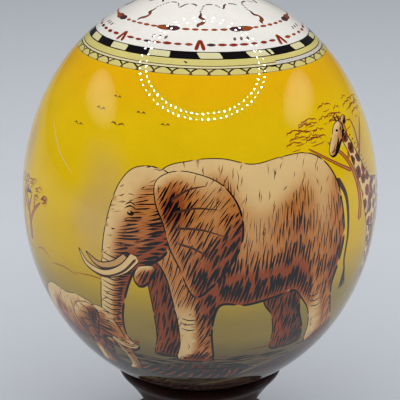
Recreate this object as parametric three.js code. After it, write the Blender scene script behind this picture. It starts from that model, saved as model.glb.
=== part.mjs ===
// A decorated ostrich egg resting in a small turned wooden stand.
// Units are millimetres, +Z is up, and the origin is the centre of the stand's flat underside.
// The egg is one solid of revolution, pointed slightly more at the top than at the bottom.
// The stand is a spool: a flared rim with a hollow seat, a narrow waist and a flat foot.
import * as THREE from "three";

// Egg: driving sizes of the shell.
const EGG_LENGTH = 150;
const EGG_DIAMETER = 128.6;
const EGG_TAPER = -0.012; // below 0 the lower half is the fuller one
const EGG_ROWS = 38;

// Stand: driving sizes of the turned spool.
const STAND_HEIGHT = 38;
const SEAT_RADIUS = 28; // where the egg rests, at the seat's edge
const SEAT_GAP = 0.3; // clearance between the egg and the seat
const RIM_RADIUS = 31.9;
const RIM_DROP = 1.8; // from the seat's edge down to the rim's widest line
const RIM_UNDER = 2.8; // from the seat's edge down to where the waist begins
const WAIST_RADIUS = 19.5;
const WAIST_HEIGHT = 13;
const FOOT_RADIUS = 33;
const FOOT_BAND = 3.6; // height of the foot's rounded outer edge
const FOOT_BEVEL = 0.8;

// How the hollow between the foot and the rim leaves its ends: inward, and along the height.
const FOOT_PULL = { inward: 8, along: 1.2 };
const RIM_PULL = { inward: 5, along: 6 };
const RIM_TUCK = 0.3; // the rim's lower edge is this much inside its widest line
const WAIST_PULL = 4; // the waist stays upright for about this far, up and down

// How finely the curves are divided.
const SEGMENTS = 64;
const SEAT_ROWS = 8;
const RIM_ROWS = 5;
const WAIST_ROWS = 6;
const HALVINGS = 50;

const eggRadius = EGG_DIAMETER / 2;
const eggHalfLength = EGG_LENGTH / 2;

// Radius and height of the egg's outline about its own centre; angle runs from -90 to 90 degrees.
function eggPoint(angle, grow = 0) {
  const side = Math.cos(angle) * (1 + EGG_TAPER * Math.sin(angle));
  return new THREE.Vector2((eggRadius + grow) * side, (eggHalfLength + grow) * Math.sin(angle));
}

// The egg's angle where its outline, grown by the seat's gap, has the given radius, on the lower half.
function seatAngle(radius) {
  let low = -Math.PI / 2;
  let high = 0;
  for (let i = 0; i < HALVINGS; i++) {
    const middle = (low + high) / 2;
    if (eggPoint(middle, SEAT_GAP).x < radius) low = middle;
    else high = middle;
  }
  return (low + high) / 2;
}

// A solid of revolution about Z from an outline of (radius, height) points, from the axis at the
// bottom, round the outside, to the axis at the top.
function turned(name, outline, material) {
  const geometry = new THREE.LatheGeometry(outline, SEGMENTS);
  geometry.rotateX(Math.PI / 2);
  const mesh = new THREE.Mesh(geometry, material);
  mesh.name = name;
  return mesh;
}

const seatEdgeAngle = seatAngle(SEAT_RADIUS);
// The egg's centre stands where the seat's edge meets the top of the rim.
const eggCentre = STAND_HEIGHT - eggPoint(seatEdgeAngle, SEAT_GAP).y;

function eggOutline() {
  const outline = [];
  for (let i = 0; i <= EGG_ROWS; i++) {
    outline.push(eggPoint(-Math.PI / 2 + (Math.PI * i) / EGG_ROWS));
  }
  outline[0].x = 0;
  outline[EGG_ROWS].x = 0;
  return outline;
}

const point = (radius, height) => new THREE.Vector2(radius, height);

// Points along a cubic curve; each pull sets how the curve leaves its end.
function flare(start, startPull, endPull, end) {
  return new THREE.CubicBezierCurve(start, startPull, endPull, end).getPoints(WAIST_ROWS);
}

// The foot's edge, from the flat underside up to where the waist begins.
function footEdge() {
  return [
    point(0, 0),
    point(FOOT_RADIUS - FOOT_BEVEL, 0),
    point(FOOT_RADIUS, FOOT_BEVEL),
    point(FOOT_RADIUS, FOOT_BAND - 1.5 * FOOT_BEVEL),
    point(FOOT_RADIUS - FOOT_BEVEL / 2, FOOT_BAND - FOOT_BEVEL / 2),
  ];
}

// The long hollow between the foot and the rim, steeper under the rim than over the foot.
function waistCurve() {
  const footTop = point(FOOT_RADIUS - 2 * FOOT_BEVEL, FOOT_BAND);
  const waist = point(WAIST_RADIUS, WAIST_HEIGHT);
  const rimBottom = point(RIM_RADIUS - RIM_TUCK, STAND_HEIGHT - RIM_UNDER);
  const footPull = point(FOOT_RADIUS - FOOT_PULL.inward, FOOT_BAND + FOOT_PULL.along);
  const rimPull = point(rimBottom.x - RIM_PULL.inward, rimBottom.y - RIM_PULL.along);
  const belowWaist = point(WAIST_RADIUS, WAIST_HEIGHT - WAIST_PULL);
  const aboveWaist = point(WAIST_RADIUS, WAIST_HEIGHT + WAIST_PULL);
  const lower = flare(footTop, footPull, belowWaist, waist);
  const upper = flare(waist, aboveWaist, rimPull, rimBottom);
  return [...lower, ...upper.slice(1)];
}

// The rim rolls over from its widest line up to the seat's edge.
function rimEdge() {
  const width = RIM_RADIUS - SEAT_RADIUS;
  const edge = [];
  for (let i = 0; i < RIM_ROWS; i++) {
    const turn = (Math.PI / 2) * (i / RIM_ROWS);
    edge.push(point(SEAT_RADIUS + width * Math.cos(turn), STAND_HEIGHT - RIM_DROP * (1 - Math.sin(turn))));
  }
  return edge;
}

// The seat follows the egg, a gap away, from the rim down to the axis.
function seatCurve() {
  const curve = [];
  for (let i = 0; i <= SEAT_ROWS; i++) {
    const angle = seatEdgeAngle + ((-Math.PI / 2 - seatEdgeAngle) * i) / SEAT_ROWS;
    const seat = eggPoint(angle, SEAT_GAP);
    curve.push(point(i === SEAT_ROWS ? 0 : seat.x, eggCentre + seat.y));
  }
  return curve;
}

const standOutline = () => [...footEdge(), ...waistCurve(), ...rimEdge(), ...seatCurve()];

const shell = new THREE.MeshStandardMaterial({ color: 0xd9a514, roughness: 0.15, metalness: 0 });
const darkWood = new THREE.MeshStandardMaterial({ color: 0x23120e, roughness: 0.4, metalness: 0 });

const egg = turned("egg", eggOutline(), shell);
egg.position.z = eggCentre;

const decoratedEgg = new THREE.Group();
decoratedEgg.add(egg, turned("stand", standOutline(), darkWood));

export default decoratedEgg;
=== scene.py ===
"""Looks of a printed and lacquered ostrich egg that rests in a turned wooden stand.

The print is drawn flat, in millimetres, on the unrolled shell. Each stroke and patch of it becomes a
group of faces of the egg's one closed mesh, and an attribute holds the printed colour, with some painted
shade on the shell's lower half.
"""
import math
import random

import bpy
import numpy as np
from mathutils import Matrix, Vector, noise
from mathutils.geometry import delaunay_2d_cdt


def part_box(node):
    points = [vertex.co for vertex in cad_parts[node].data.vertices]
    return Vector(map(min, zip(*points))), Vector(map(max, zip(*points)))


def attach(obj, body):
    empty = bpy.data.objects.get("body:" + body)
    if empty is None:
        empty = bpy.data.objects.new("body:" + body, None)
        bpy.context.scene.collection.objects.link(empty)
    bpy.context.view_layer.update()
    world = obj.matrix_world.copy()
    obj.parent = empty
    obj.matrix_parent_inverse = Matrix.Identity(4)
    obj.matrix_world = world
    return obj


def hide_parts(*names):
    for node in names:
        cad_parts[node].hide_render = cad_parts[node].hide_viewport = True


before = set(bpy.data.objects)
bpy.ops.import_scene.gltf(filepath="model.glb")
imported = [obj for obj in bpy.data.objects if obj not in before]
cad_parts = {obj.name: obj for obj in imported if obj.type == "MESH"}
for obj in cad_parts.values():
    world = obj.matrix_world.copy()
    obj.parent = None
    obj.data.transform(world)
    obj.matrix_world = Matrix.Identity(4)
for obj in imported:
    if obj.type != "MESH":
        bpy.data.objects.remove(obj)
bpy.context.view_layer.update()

MM = 0.001
TURN = 2 * math.pi

# ---------------------------------------------------------------- the shell

egg_low, egg_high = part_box("egg")
EGG_RADIUS = (egg_high[0] - egg_low[0]) / 2 / MM
EGG_HALF = (egg_high[2] - egg_low[2]) / 2 / MM
EGG_CENTRE = (egg_high[2] + egg_low[2]) / 2 / MM
EGG_TAPER = -0.012  # below 0 the lower half is the fuller one
GIRTH = TURN * EGG_RADIUS  # round the equator

ANGLE_STEPS = 4000


def egg_side(angle, grow=0):
    """Distance from the egg's axis to its outline, or to one that is a little larger."""
    return (EGG_RADIUS + grow) * np.cos(angle) * (1 + EGG_TAPER * np.sin(angle))


angles = np.linspace(-math.pi / 2, math.pi / 2, ANGLE_STEPS + 1)
radii = egg_side(angles)
arcs = np.concatenate([[0], np.cumsum(np.hypot(np.diff(radii), np.diff(EGG_HALF * np.sin(angles))))])
arcs -= np.interp(0, angles, arcs)  # along the outline, from the equator
LOWEST, HIGHEST = arcs[0], arcs[-1]
TIP = 1.6  # the mesh closes at each pole with a fan of this size


def shell_radius(arc):
    return np.interp(arc, arcs, radii)


SAG_SIDES = 3.0  # how much lower the cap's pattern lies at its sides than in front
SAG_EAST = 1.1  # and how much more than that in the east, and less in the west
SAG_START, SAG_FULL = 36, 62  # arcs between which that sets in
SAG_END = 14  # and how near the top it goes away again


def askew(longitude, arc):
    """The arc at which a spot of the print lies, as the cap's pattern isn't quite level."""
    share = ramp(arc, SAG_START, SAG_FULL) * ramp(HIGHEST - arc, 0, SAG_END)
    return arc - share * (SAG_SIDES * (1 - np.cos(longitude)) + SAG_EAST * np.sin(longitude))


def on_shell(x, arc):
    """Places and normals on the shell: x runs round the equator from the front, and arc up the outline."""
    longitude = np.asarray(x) / EGG_RADIUS
    arc = askew(longitude, np.asarray(arc))
    angle = np.interp(arc, arcs, angles)
    radius = shell_radius(arc)
    across = EGG_RADIUS * (-np.sin(angle) + EGG_TAPER * np.cos(2 * angle))
    up = EGG_HALF * np.cos(angle)
    size = np.hypot(across, up)
    east, south = np.sin(longitude), -np.cos(longitude)
    places = np.stack([radius * east, radius * south, EGG_CENTRE + EGG_HALF * np.sin(angle)], -1)
    normals = np.stack([up / size * east, up / size * south, -across / size], -1)
    return places * MM, normals


# ---------------------------------------------------------------- inks


def ink(red, green, blue):
    """A printed colour, from display values of 0 to 255, as linear light."""
    shown = np.array([red, green, blue]) / 255
    return np.where(shown < 0.04045, shown / 12.92, ((shown + 0.055) / 1.055) ** 2.4)


BLACK, SEPIA, PLUM = ink(14, 9, 10), ink(74, 42, 30), ink(70, 38, 44)
RUST, BRICK, ORANGE = ink(142, 64, 26), ink(128, 40, 22), ink(188, 118, 56)
TAN, CREAM = ink(200, 152, 92), ink(224, 188, 128)
IVORY, WHITE, ASH = ink(208, 200, 154), ink(222, 217, 208), ink(196, 188, 176)
STRAW, LIME, PALE_STRAW = ink(202, 188, 113), ink(203, 189, 114), ink(212, 198, 150)
GOLD, YELLOW, OCHRE = ink(220, 166, 2), ink(224, 184, 2), ink(210, 170, 14)
SAND, OLIVE, EARTH = ink(200, 164, 92), ink(150, 128, 66), ink(108, 92, 64)
SHADE = ink(50, 42, 38)


def mix(first, second, share):
    share = np.asarray(share)[..., None]
    return first * (1 - share) + second * share


def ramp(value, start, end):
    """0 before start, 1 after end, and smooth between them."""
    t = np.clip((value - start) / (end - start), 0, 1)
    return t * t * (3 - 2 * t)


# ---------------------------------------------------------------- flat shapes


CURVE_STEPS = 12  # between two given points, before the curve is divided evenly
TINY = 1e-9  # keeps a division away from 0


def curve(points, step, closed=False):
    """Points about a step apart along the smooth curve through the given ones."""
    p = np.asarray(points, float)
    if closed:
        p = np.concatenate([p[-1:], p, p[:2]])
    else:
        p = np.concatenate([2 * p[:1] - p[1:2], p, 2 * p[-1:] - p[-2:-1]])
    t = np.linspace(0, 1, CURVE_STEPS, endpoint=False)[:, None]
    pieces = []
    for a, b, c, d in zip(p, p[1:], p[2:], p[3:]):
        bend = b + t * (c - a) / 2 + t**2 * (a - 2.5 * b + 2 * c - d / 2)
        pieces.append(bend + t**3 * (3 * (b - c) + d - a) / 2)
    fine = np.concatenate([*pieces, p[-2:-1]])
    along = np.concatenate([[0], np.cumsum(np.hypot(*np.diff(fine, axis=0).T))])
    count = max(2, round(along[-1] / step) + 1)
    where = np.linspace(0, along[-1], count)
    if closed:
        where = where[:-1]
    return np.stack([np.interp(where, along, fine[:, 0]), np.interp(where, along, fine[:, 1])], -1)


def right_of(path):
    """At each point of a path, the direction to its right."""
    tangents = np.gradient(path, axis=0)
    tangents /= np.hypot(*tangents.T)[:, None] + TINY
    return np.stack([tangents[:, 1], -tangents[:, 0]], -1)


def ribbon(path, widths):
    """Outline of a stroke with pointed ends, anticlockwise."""
    sides = right_of(path) * (widths / 2)[:, None]
    return np.concatenate([path[:1], (path + sides)[1:-1], path[-1:], (path - sides)[-2:0:-1]])


def level_patch(left, right, steps, low, high):
    """A level patch with this many steps along it, so that it follows the shell."""
    x = np.linspace(left, right, steps + 1)
    lower, upper = (np.stack([x, np.full_like(x, y)], -1) for y in (low, high))
    return np.concatenate([lower, upper[::-1]])


def anticlockwise(outline):
    x, y = outline.T
    area = np.sum(x * np.roll(y, -1) - np.roll(x, -1) * y)
    return outline if area > 0 else outline[::-1]


def inside(points, outline):
    """Which of the points lie inside the outline."""
    x, y = points[:, 0, None], points[:, 1, None]
    x1, y1 = outline.T
    x2, y2 = np.roll(x1, -1), np.roll(y1, -1)
    level = (y1 > y) != (y2 > y)
    rise = np.where(y2 == y1, TINY, y2 - y1)
    return (level & (x < (x2 - x1) * (y - y1) / rise + x1)).sum(1) % 2 == 1


def edge_of(points, outline):
    """Distance from each point to the outline, and the direction towards it."""
    span = np.roll(outline, -1, axis=0) - outline
    offset = points[:, None] - outline
    t = np.clip((offset * span).sum(-1) / (span**2).sum(-1), 0, 1)
    away = outline + t[..., None] * span - points[:, None]
    size = np.hypot(away[..., 0], away[..., 1])
    nearest = size.argmin(1)
    row = np.arange(len(points))
    distance = size[row, nearest]
    return distance, away[row, nearest] / (distance[:, None] + TINY)


# ---------------------------------------------------------------- the sheet


def cut_at(outline, limit, side):
    """The part of an outline west (side 1) or east (side -1) of a limit."""
    kept = []
    for a, b in zip(outline, np.roll(outline, -1, axis=0)):
        here, there = (limit - a[0]) * side, (limit - b[0]) * side
        if here >= 0:
            kept.append(tuple(a))
        if here * there < 0:
            share = here / (here - there)
            kept.append((limit, a[1] + share * (b[1] - a[1])))
    return kept


RING_STEPS = 120
CELL = 3.8  # spacing of the plain faces


class Sheet:
    """The unrolled shell with its marks. A later mark covers an earlier one."""

    def __init__(self):
        self.outlines, self.paints, self.groups, self.within = [], [], [], []
        self.count = 0

    def add(self, outline, paint, within=None):
        """paint is a colour, or a function of sheet points. A mark shows only on the mark named by within.
        A mark that crosses the sheet's edge comes in again at the other edge."""
        outline = anticlockwise(np.asarray(outline, float))
        edge = GIRTH / 2
        self.count += 1
        for shift in (0, -GIRTH, GIRTH):
            moved = outline + (shift, 0)
            if moved[:, 0].min() >= edge or moved[:, 0].max() <= -edge:
                continue
            if moved[:, 0].max() > edge:
                moved = np.array(cut_at(moved, edge, 1))
            elif moved[:, 0].min() < -edge:
                moved = np.array(cut_at(moved, -edge, -1))
            self.outlines.append(moved)
            self.paints.append(self.shifted(paint, shift))
            self.groups.append(self.count)
            self.within.append(within)
        return self.count

    @staticmethod
    def shifted(paint, shift):
        if shift and callable(paint):
            return lambda points: paint(points - (shift, 0))
        return paint

    def ring(self, low, high, paint):
        """A band all the way round."""
        return self.add(level_patch(-GIRTH / 2, GIRTH / 2, RING_STEPS, low, high), paint)

    def in_sight(self):
        """The marks that no later washed shape covers entirely. The two parts of a mark that the sheet's
        edge cuts stay or go together, so that the edges still match."""
        lows = np.array([outline.min(0) for outline in self.outlines])
        highs = np.array([outline.max(0) for outline in self.outlines])
        seen = np.ones(len(self.outlines), bool)
        for k, cover in enumerate(self.outlines):
            if self.within[k] is not None or not callable(self.paints[k]):
                continue
            boxed = (lows[:k] >= lows[k]).all(1) & (highs[:k] <= highs[k]).all(1)
            for mark in np.flatnonzero(boxed & seen[:k]):
                seen[mark] = not inside(self.outlines[mark], cover).all()
        groups = np.array(self.groups)
        return np.flatnonzero(np.isin(groups, groups[seen]))


sheet = Sheet()


STEP = 0.9  # between the points of a row of strokes
LINE_STEP = 1.3  # and of a single line
THINNEST = 0.13  # stroke in a row
WANDER = 0.3  # how far a row of strokes strays to each side
WAVES = (0.25, 0.5)  # how fast it does so, in radians per millimetre
UNEVEN = (0.85, 1.15)  # share of the usual gap between two rows
SHORTEST = 0.5  # a stroke's limit is at least this share of the longest


class Drawing:
    """Marks in true millimetres about a spot of the sheet. x runs east and y up the shell."""

    def __init__(self, degrees, arc, scale=1.0, mirror=False, seed=1):
        self.degrees, self.arc = (degrees + 180) % 360 - 180, arc
        self.size = np.array([-scale if mirror else scale, scale])
        self.rng = random.Random(seed)

    def to_sheet(self, points):
        points = np.asarray(points, float)
        arc = self.arc + points[:, 1]
        x = math.radians(self.degrees) * EGG_RADIUS + points[:, 0] * EGG_RADIUS / shell_radius(arc)
        return np.stack([x, arc], -1)

    def from_sheet(self, points):
        x, arc = points.T
        x = (x - math.radians(self.degrees) * EGG_RADIUS) * shell_radius(arc) / EGG_RADIUS
        return np.stack([x, arc - self.arc], -1)

    def shape(self, points, step=1.2):
        """A smooth closed outline at this drawing's size."""
        return anticlockwise(curve(np.asarray(points, float) * self.size, step, closed=True))

    def line(self, points, step=LINE_STEP):
        return curve(np.asarray(points, float) * self.size, step)

    def fill(self, outline, paint, within=None):
        """paint is a colour, or a function of this drawing's own points."""
        if callable(paint):
            return sheet.add(self.to_sheet(outline), lambda p: paint(self.from_sheet(p)), within)
        return sheet.add(self.to_sheet(outline), paint, within)

    def stroke(self, path, widths, colour=BLACK, within=None):
        """A tapered line. widths is one number, or one for each of a few places along it."""
        widths = np.atleast_1d(widths)
        if len(path) < 3:
            path = np.array([path[0], (path[0] + path[-1]) / 2, path[-1]])
        spread = np.interp(np.linspace(0, 1, len(path)), np.linspace(0, 1, len(widths)), widths)
        return self.fill(ribbon(path, spread), colour, within)

    def hatch(self, outline, tone, lean, pitch, bow, inks, within):
        """Rows of strokes that thicken as the tone darkens, and stop where it is light. Each ink is
        (colour, tone where it starts, tone where it is full, thickness, longest stroke). The inks
        share each row, side by side."""
        turn = math.radians(lean)
        along = np.array([math.cos(turn), math.sin(turn)])
        across = np.array([-math.sin(turn), math.cos(turn)])
        centre = (outline.min(0) + outline.max(0)) / 2
        reach = np.abs((outline - centre) @ along).max()
        u = np.arange(-reach, reach, STEP)
        if len(u) < 3:
            return
        side = (outline - centre) @ across
        extra = abs(bow) * reach**2
        v = side.min() - extra
        while v < side.max() + extra:
            phase, speed = self.rng.uniform(0, TURN), self.rng.uniform(*WAVES)
            row = v + bow * u**2 + WANDER * np.sin(u * speed + phase)
            for k, (colour, start, full, thick, longest) in enumerate(inks):
                path = centre + u[:, None] * along + (row + k * pitch / len(inks))[:, None] * across
                widths = pitch * thick * np.clip((tone(path) - start) / (full - start), 0, 1)
                keep = inside(path, outline) & (widths > THINNEST)
                self.dashes(path, widths, keep, longest, colour, within)
            v += pitch * self.rng.uniform(*UNEVEN)

    def dashes(self, path, widths, keep, longest, colour, within):
        """Strokes along the kept stretches of a path, through every third point."""
        limit = self.rng.uniform(SHORTEST, 1.0) * longest
        run = []
        for k in range(len(path) + 1):
            if k < len(path) and keep[k] and len(run) * STEP < limit:
                run.append(k)
                continue
            if len(run) >= 3:
                picked = sorted({*run[:-1:3], run[-1]})
                self.stroke(path[picked], widths[picked], colour, within)
                limit = self.rng.uniform(SHORTEST, 1.0) * longest
            run = []


SHINE = np.array((-0.5, 0.87))  # the way to the drawn light, at the upper left
MIDDLE_TONE = 0.42
EDGE_TONE = 0.55  # how much lighter or darker a rounded shape is at its edge
EDGE_FALL = 1.2  # and how that goes away inwards, 1 being evenly


def bulge(outline, width):
    """Tone of a shape that is rounded over this width inside its edge, from 0 light to 1 dark."""

    def tone(points):
        distance, towards = edge_of(points, outline)
        slope = (1 - np.clip(distance / width, 0, 1)) ** EDGE_FALL
        return MIDDLE_TONE - EDGE_TONE * slope * (towards @ SHINE)

    return tone


def even(amount):
    return lambda p: np.full(len(p), amount)


def blot(x, y, width, height, amount):
    """A soft dark or, below 0, light spot of a tone."""
    return lambda p: amount * np.exp(-((p[:, 0] - x) / width) ** 2 - ((p[:, 1] - y) / height) ** 2)


def layered(*tones):
    return lambda p: np.clip(sum(t(p) for t in tones), 0, 1)


LIGHT_TONE, HALF_TONE, DARK_TONE = 0.12, 0.5, 0.85  # where a wash has just its one colour


def wash(tone, light, middle, dark):
    """Paint that goes from light through middle to dark with the tone."""

    def paint(points):
        shade = tone(points)
        pale = np.broadcast_to(light, (len(shade), 3))
        lighter = mix(pale, middle, ramp(shade, LIGHT_TONE, HALF_TONE))
        return mix(lighter, dark, ramp(shade, HALF_TONE, DARK_TONE))

    return paint


# ---------------------------------------------------------------- the border

REPEATS = 7  # of the cap's pattern
REPEAT = 360 / REPEATS
FORKS = 42
# Arcs of the border's lines, from the top down, and how thick they are.
CAP_EDGE, BLOCK_EDGE, STRIPE_EDGE, CORD_EDGE, FORK_EDGE = 72.2, 69.35, 66.7, 65.7, 63.4
LINE, FINE_LINE = 0.34, 0.26
# The pale blocks west and east of the strip's end: degrees of the first, how many, and degrees wide.
PALE_WEST, PALE_EAST = (30.4, 8, 11.6), (59.4, 5, 9.8)
PALE_PITCH = 26.2  # degrees
STRIP_END = 36.4  # where the printed strip's two ends meet
JOG_GAP, CORD_GAP = 5, 1.8  # degrees from there to the jog in its line, and to the paler cord beyond it
SECOND_CORD = 55  # that cord's length
SPECK_DEGREES = -7
# Arcs of the cap's rows.
CHEVRON_LOW, CHEVRON_HIGH = 72.6, 77.1
DASH_ROW, TICK_ROW, BEAD_ROW, SQUIGGLE_ROW = 74.9, 77.3, 81.6, 86.2
ARCH_FOOT, ARCH_TOP, ARCH_NOTCH = 91.0, 95.4, 92.6
# Degrees, from the chevron east, and between the small marks of a row.
BEAD_SHIFT, SQUIGGLE_SHIFT = 29.0, 0.6
TICK_PITCH = 4.3
BEAD_DASHES, BEAD_DASH_GAP, BEAD_DASH_PITCH = 5, 12.4, 6.7
BEAD_LOBES = (  # length, height, shift and colour
    (6.6, 2.5, 1.4, SEPIA), (5.6, 1.8, 1.8, RUST), (4.6, 2.5, -1.6, PLUM))
# The arch's line in steps: from dot to dot, along a dash, and from dash to dash.
ARCH_STEP, DOT_STEPS, DASH_STEPS, DASH_PITCH = 0.5, 3, 22, 28
ARCH_LEVEL = 0.35  # the rise from dot to dot below which there are dashes
LENS_POINT = 0.35  # how pointed a lens is at its ends, 0 being a plain oval


def lens(length, height, sides=10):
    """A pointed oval."""
    t = np.arange(sides) * TURN / sides
    rise = np.sin(t) * np.abs(np.sin(t)) ** LENS_POINT
    return np.stack([np.cos(t) * length / 2, rise * height / 2], -1)


def soft_block(left, right, low, high, lean, radius=0.5):
    """A four-sided patch with round corners, whose ends lean."""
    points = []
    for x, y, first in ((left, low, 180), (right, low, 270), (right, high, 0), (left, high, 90)):
        centre_x = x + (radius if x == left else -radius)
        centre_y = y + (radius if y == low else -radius)
        for turn in np.radians((first + 10, first + 45, first + 80)):
            points.append((centre_x + radius * math.cos(turn), centre_y + radius * math.sin(turn)))
    points = np.array(points)
    points[:, 0] += lean * (high - points[:, 1])
    return points


def bands():
    """The rings under the cap, and the fine lines between them."""
    for low, high, colour in (
        (CAP_EDGE, HIGHEST - TIP, WHITE), (BLOCK_EDGE - LINE / 2, CAP_EDGE, BLACK),
        (STRIPE_EDGE, BLOCK_EDGE - LINE / 2, STRAW), (CORD_EDGE, STRIPE_EDGE, PALE_STRAW),
        (FORK_EDGE, CORD_EDGE, LIME),
    ):
        sheet.ring(low, high, colour)
    for arc, line, colour in (
        (STRIPE_EDGE, FINE_LINE, BLACK), (CORD_EDGE, LINE, BLACK), (FORK_EDGE, FINE_LINE, OLIVE),
    ):
        sheet.ring(arc - line / 2, arc + line / 2, colour)


def blocks():
    """The strip's pale blocks, and the place where its two ends meet."""
    rng = random.Random(2)
    for (first, count, wide), way in ((PALE_WEST, -1), (PALE_EAST, 1)):
        half = math.radians(wide / 2) * shell_radius(BLOCK_EDGE)
        for k in range(count):
            spot = Drawing(first + way * k * PALE_PITCH, BLOCK_EDGE)
            lean = rng.uniform(0.1, 0.5)
            spot.fill(soft_block(-half, half, LINE / 2, CAP_EDGE - BLOCK_EDGE - LINE, lean), IVORY)
    end = Drawing(STRIP_END, CAP_EDGE)
    fall = BLOCK_EDGE - CAP_EDGE
    end.fill(soft_block(-4.0, 1.9, fall + LINE / 2, -LINE, 0.35, 0.3), IVORY)
    end.stroke(end.line([(-0.5, 0), (0.1, -0.4), (1.3, fall)], 0.5), (0.5, 0.9, 0.9, 0.5), BLACK)
    jog = Drawing(STRIP_END + JOG_GAP, BLOCK_EDGE)
    jog.stroke(jog.line([(-2.6, 0), (0, 0.45), (2.4, 0.45), (5.5, 0)], 0.7), (0.2, 0.4, 0.4, 0.2), BLACK)
    cord = Drawing(STRIP_END + CORD_GAP, CORD_EDGE)
    for length, low, high, colour in ((SECOND_CORD, -0.2, 1.6, BLACK), (SECOND_CORD + 0.2, 0.1, 1.3, ASH)):
        cord.fill(level_patch(0, length, round(length / CELL) - 1, low, high), colour)
    cord.stroke(cord.line([(-4.6, 0.3), (-2, -0.3), (0, -0.1)], 0.7), (0.3, 0.6, 0.3), BLACK)
    speck = Drawing(SPECK_DEGREES, (BLOCK_EDGE + STRIPE_EDGE) / 2)
    speck.stroke(speck.line([(-0.7, 0.4), (0, 0), (0.7, -0.4)], 0.5), (0.4, 0.7, 0.3), SEPIA)


def forks():
    """Small forks between the scallops, each with a pale eye in its crotch."""
    depth = CORD_EDGE - FORK_EDGE
    rng = random.Random(3)
    for k in range(FORKS):
        spot = Drawing(-180 + (k + 0.5) * 360 / FORKS, CORD_EDGE)
        tilt = rng.uniform(-0.25, 0.25)
        joint = (tilt, -0.62 * depth)
        for side in (-1, 1):
            shoulder = [(side * 2.7, -0.04), (side * 1.7, -0.1 * depth), (side * 0.8, -0.32 * depth)]
            arm = spot.line([*shoulder, joint], 0.5)
            spot.stroke(arm, (0.15, 0.4, 0.55, 0.6), BLACK if k % 3 else SEPIA)
        spot.stroke(spot.line([(tilt, -0.45 * depth), (tilt, -0.95 * depth)], 0.4), (0.6, 0.8, 0.6), SEPIA)
        foot = spot.line([(tilt - 0.8, -depth), (tilt, -0.86 * depth), (tilt + 0.8, -depth)], 0.4)
        spot.stroke(foot, 0.4, SEPIA)
        spot.fill(lens(0.45, 0.45, 6) + (tilt * 0.4, -0.18 * depth), ASH)


TICK_TURN = np.array([[0.35, 0.94], [-0.94, 0.35]])  # stands a level tick nearly on end


def cap():
    """Dashes, chevrons, ticks, beads, squiggles and dotted arches round the white cap."""
    rng = random.Random(5)
    tick = lens(1.6, 1.0) @ TICK_TURN
    for k in range(REPEATS):
        first = k * REPEAT
        spot = Drawing(first, 0)
        for side in (-1, 1):
            leg = spot.line([(side * 1.4, CHEVRON_LOW), (side * 0.1, CHEVRON_HIGH)], 0.6)
            spot.stroke(leg, (1.1, 1.3, 1.1, 1.0), BRICK)
        count = 6 if k % 2 else 7
        for i in range(count):
            dash = lens(rng.uniform(2.4, 3.5), rng.uniform(1.05, 1.4)) + (0, rng.uniform(-0.12, 0.12))
            spot = Drawing(first + (i + 1) / (count + 1) * REPEAT, DASH_ROW)
            spot.fill(dash, rng.choice((BRICK, BRICK, RUST, BRICK, BRICK, PLUM)))
        for i in (-1, 0, 1):
            spot = Drawing(first + REPEAT / 2 + i * TICK_PITCH, TICK_ROW)
            spot.fill(tick, SEPIA)
            spot.fill(tick * 0.25 + (0.05, 0.05), ASH)
        bead = Drawing(first + BEAD_SHIFT, BEAD_ROW)
        way = 1 if k < REPEATS / 2 else -1
        for length, height, east, colour in BEAD_LOBES:
            bead.fill(lens(length, height) + (way * east, 0), colour)
        for i in range(BEAD_DASHES):
            spot = Drawing(first + BEAD_SHIFT + BEAD_DASH_GAP + BEAD_DASH_PITCH * i, BEAD_ROW)
            spot.fill(lens(rng.uniform(2.1, 2.9), rng.uniform(0.95, 1.25)), RUST)
        squiggle(first + SQUIGGLE_SHIFT)
        arch(first + SQUIGGLE_SHIFT, first + SQUIGGLE_SHIFT + REPEAT)


def squiggle(degrees):
    spot = Drawing(degrees, SQUIGGLE_ROW)
    way = [(-1.1, -3.7), (-0.8, -2.4), (0.6, -1.4), (1.0, 0.3), (-0.2, 1.5), (0.1, 3.0), (-0.1, 4.4)]
    path = spot.line(way, 0.5)
    spot.stroke(path, (0.5, 1.2, 1.4, 0.9, 1.3, 0.7, 0.4), SEPIA)
    spot.stroke(path[2:-6], (0.2, 0.6, 0.4, 0.6, 0.2), RUST)


def arch(start, end):
    """A broken line from one squiggle's tip to the next, notched in its middle: dashes above, dots below."""
    middle = (start + end) / 2
    half = [(0, ARCH_FOOT), (4, ARCH_TOP - 1.2), (10, ARCH_TOP), (middle - start - 6, ARCH_TOP - 0.3)]
    way = [(start + x, y) for x, y in half] + [(middle, ARCH_NOTCH)] + [(end - x, y) for x, y in half[::-1]]
    path = curve(way, ARCH_STEP)
    k = 0
    while k < len(path) - DOT_STEPS:
        degrees, arc = path[k]
        spot = Drawing(degrees, arc)
        if abs(path[k + DOT_STEPS][1] - arc) < ARCH_LEVEL:
            stretch = path[k:k + DASH_STEPS:DOT_STEPS] - path[k]
            stretch[:, 0] = np.radians(stretch[:, 0]) * shell_radius(arc)
            spot.stroke(stretch, (0.5, 0.7, 0.5), SEPIA)
            k += DASH_PITCH
        else:
            spot.fill(lens(0.7, 0.65, 6), SEPIA)
            k += DOT_STEPS


bands()
blocks()
forks()
cap()

# ---------------------------------------------------------------- the picture

THIN = 0.3  # width of an outline on its lit side


def contour(draw, outline, thick):
    """Inks an outline in separate strokes, thicker on its shaded side."""
    ring = np.concatenate([outline, outline[:2]])
    shaded = np.clip(0.5 - 0.5 * right_of(ring) @ SHINE, 0, 1)
    widths = THIN + (thick - THIN) * shaded**1.5
    start = 0
    while start < len(ring) - 3:
        end = min(start + draw.rng.randint(8, 16), len(ring))
        run = widths[start:end].copy()
        run[[0, -1]] *= 0.5
        draw.stroke(ring[start:end], run)
        start = end - 1 if draw.rng.random() < 0.75 else end


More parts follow.
